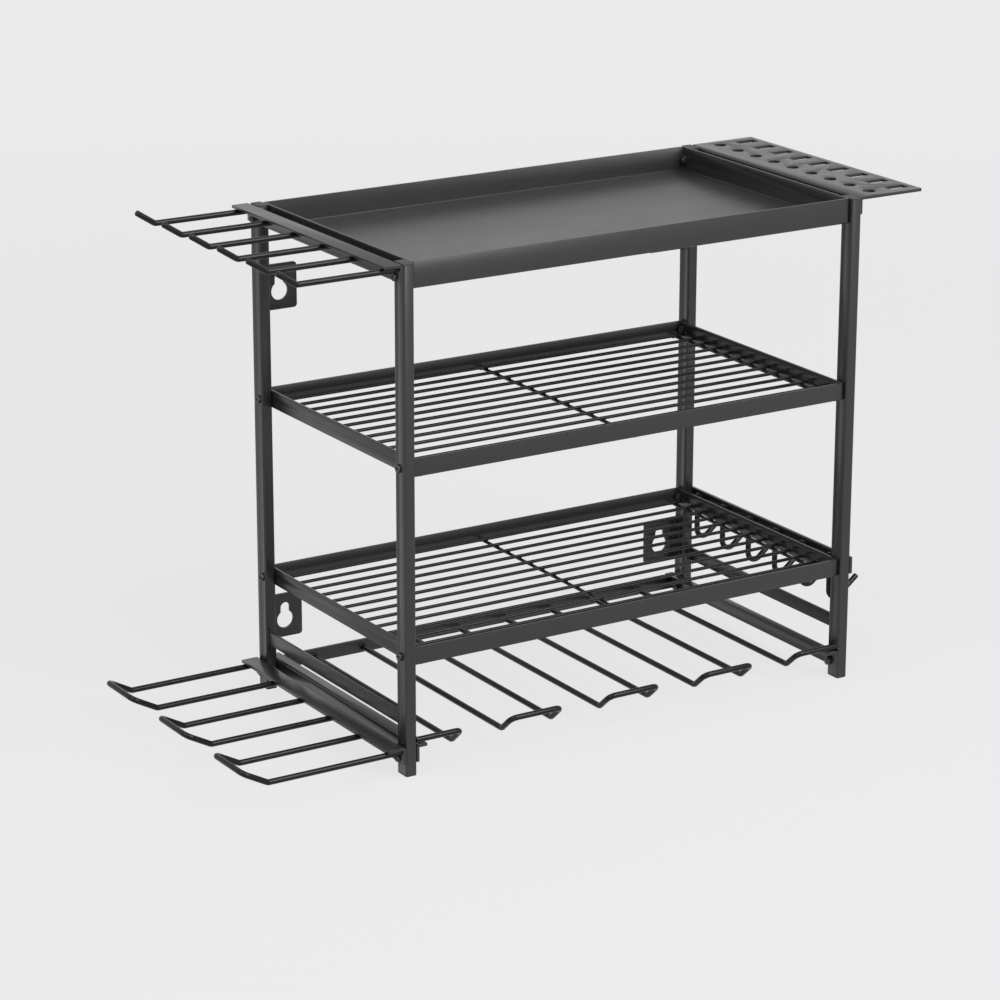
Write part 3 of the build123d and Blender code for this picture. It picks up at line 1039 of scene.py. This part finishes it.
dotTemplate = weldDot()
for shelf in ("middle_shelf", "bottom_shelf"):
    longLow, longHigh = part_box(shelf + "_wires")
    crossLow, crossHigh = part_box(shelf + "_cross_wires")
    z = (longLow.z + crossHigh.z) / 2
    acrossX = wireMiddles(crossLow.x, crossHigh.x, shelfWires["crossCount"])
    acrossY = wireMiddles(longLow.y, longHigh.y, shelfWires["longCount"])
    places = [((x, y, z), (0, 0, 0)) for x in acrossX for y in acrossY]
    dots = setOutMesh(shelf + "_weld_dots", dotTemplate, places, "coatedWire", weldDots["seed"])
    smoothed(dots, "weld")
    finished(dots, "coatedWire")
bpy.data.objects.remove(dotTemplate)
print("welds laid:", len(weldLines), "beads")

studio = {
    "floorColour": (0.60, 0.60, 0.60),
    "backColour": (0.83, 0.83, 0.83),
    "backShare": 0.88,  # of the background in the floor's look near the rack
    "fadeStart": 0.8,  # metres from the rack where the floor starts to fade into the background
    "fadeEnd": 2.8,
    "floorSize": 30.0,
    "floorDrop": 0.1,  # millimetres under the feet
    "room": 0.32,
}


def seenDirectly(tree):
    # one where a camera, glossy or transmission ray looks, so that gloss shows the background too
    path = tree.nodes.new("ShaderNodeLightPath")
    camera = path.outputs["Is Camera Ray"]
    for ray in ("Is Glossy Ray", "Is Transmission Ray"):
        either = tree.nodes.new("ShaderNodeMath")
        either.operation = "MAXIMUM"
        wire(tree, camera, either.inputs[0])
        wire(tree, path.outputs[ray], either.inputs[1])
        camera = either.outputs[0]
    return camera


def paleMaterial():
    # what the camera sees is part lit floor, for the shadow, and part flat background
    material = bpy.data.materials.new("paleFloor")
    material.use_nodes = True
    tree = material.node_tree
    tree.nodes.clear()
    ground = tree.nodes.new("ShaderNodeBsdfDiffuse")
    flat = tree.nodes.new("ShaderNodeEmission")
    flat.inputs["Color"].default_value = (*studio["backColour"], 1)
    ground.inputs["Color"].default_value = (*studio["floorColour"], 1)
    place = tree.nodes.new("ShaderNodeTexCoord")
    away = tree.nodes.new("ShaderNodeVectorMath")
    away.operation = "LENGTH"
    fade = tree.nodes.new("ShaderNodeMapRange")
    fade.interpolation_type = "SMOOTHSTEP"
    fade.inputs["From Min"].default_value = studio["fadeStart"]
    fade.inputs["From Max"].default_value = studio["fadeEnd"]
    fade.inputs["To Min"].default_value = studio["backShare"]
    fade.inputs["To Max"].default_value = 1.0
    share = tree.nodes.new("ShaderNodeMath")
    share.operation = "MULTIPLY"
    mix = tree.nodes.new("ShaderNodeMixShader")
    out = tree.nodes.new("ShaderNodeOutputMaterial")
    wire(tree, place.outputs["Object"], away.inputs[0])
    wire(tree, away.outputs["Value"], fade.inputs["Value"])
    wire(tree, seenDirectly(tree), share.inputs[0])
    wire(tree, fade.outputs["Result"], share.inputs[1])
    wire(tree, share.outputs[0], mix.inputs["Fac"])
    wire(tree, ground.outputs[0], mix.inputs[1])
    wire(tree, flat.outputs[0], mix.inputs[2])
    wire(tree, mix.outputs[0], out.inputs["Surface"])
    return material


floorHalf = studio["floorSize"] / 2
floorZ = feetZ - studio["floorDrop"] * mm
floorMesh = bpy.data.meshes.new("floor")
floorMesh.from_pydata(
    [(x * floorHalf, y * floorHalf, floorZ) for x, y in ((-1, -1), (1, -1), (1, 1), (-1, 1))],
    [],
    [(0, 1, 2, 3)],
)
floor = linked("floor", floorMesh)
floor.data.materials.append(paleMaterial())
floor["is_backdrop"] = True

world = bpy.data.worlds.new("paleRoom")
bpy.context.scene.world = world
world.use_nodes = True
roomTree = world.node_tree
roomTree.nodes.clear()
roomLight = roomTree.nodes.new("ShaderNodeBackground")
roomLight.inputs["Color"].default_value = (1, 1, 1, 1)
roomLight.inputs["Strength"].default_value = studio["room"]
roomSeen = roomTree.nodes.new("ShaderNodeBackground")
roomSeen.inputs["Color"].default_value = (*studio["backColour"], 1)
roomMix = roomTree.nodes.new("ShaderNodeMixShader")
roomOut = roomTree.nodes.new("ShaderNodeOutputWorld")
wire(roomTree, seenDirectly(roomTree), roomMix.inputs["Fac"])
wire(roomTree, roomLight.outputs[0], roomMix.inputs[1])
wire(roomTree, roomSeen.outputs[0], roomMix.inputs[2])
wire(roomTree, roomMix.outputs[0], roomOut.inputs["Surface"])

middle = (cadLow + cadHigh) / 2
softboxes = {
    "overhead": {"azimuth": 0.0, "elevation": 84.0, "distance": 4.2, "size": 3.0, "power": 32.0},
    "left": {"azimuth": -78.0, "elevation": 48.0, "distance": 4.6, "size": 3.4, "power": 90.0},
    "front": {"azimuth": 18.0, "elevation": 40.0, "distance": 3.2, "size": 2.4, "power": 118.0},
}


def direction(azimuth, elevation):
    # from the rack outwards; azimuth 0 is in front of it and 90 to its right
    a, e = math.radians(azimuth), math.radians(elevation)
    return Vector((math.sin(a) * math.cos(e), -math.cos(a) * math.cos(e), math.sin(e)))


for name, box in softboxes.items():
    light = bpy.data.lights.new(name, "AREA")
    light.shape = "SQUARE"
    light.size = box["size"]
    light.energy = box["power"]
    lamp = bpy.data.objects.new(name, light)
    out = direction(box["azimuth"], box["elevation"])
    lamp.location = middle + out * box["distance"]
    lamp.rotation_euler = (-out).to_track_quat("-Z", "Y").to_euler()
    bpy.context.scene.collection.objects.link(lamp)

cameraView = {
    "azimuth": -31.948,
    "elevation": 17.645,
    "roll": 0.094,
    "distance": 3.0688,
    "aim": (-56.1, 176.1),  # across from the frame's origin, minus to the left, and up from the feet
    "lens": 128.97,
    "sensor": 36.0,
    "clipEnd": 100.0,
}
rackMiddleY = (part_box("post_front_left")[0].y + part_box("post_rear_left")[1].y) / 2
aim = Vector((cameraView["aim"][0] * mm, rackMiddleY, feetZ + cameraView["aim"][1] * mm))
outwards = direction(cameraView["azimuth"], cameraView["elevation"])
camera = bpy.data.objects.new("camera", bpy.data.cameras.new("camera"))
camera.data.lens = cameraView["lens"]
camera.data.sensor_width = cameraView["sensor"]
camera.data.clip_end = cameraView["clipEnd"]
camera.rotation_mode = "QUATERNION"
camera.location = aim + outwards * cameraView["distance"]
roll = Matrix.Rotation(math.radians(cameraView["roll"]), 3, "Z").to_quaternion()
camera.rotation_quaternion = (-outwards).to_track_quat("-Z", "Y") @ roll
bpy.context.scene.collection.objects.link(camera)
bpy.context.scene.camera = camera
bpy.context.scene.view_settings.view_transform = "Standard"
print("studio ready")

low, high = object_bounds()
for name, a, b in (("lowest", cadLow, low), ("highest", cadHigh, high)):
    print(name, [round((y - x) / mm, 2) for x, y in zip(a, b)])
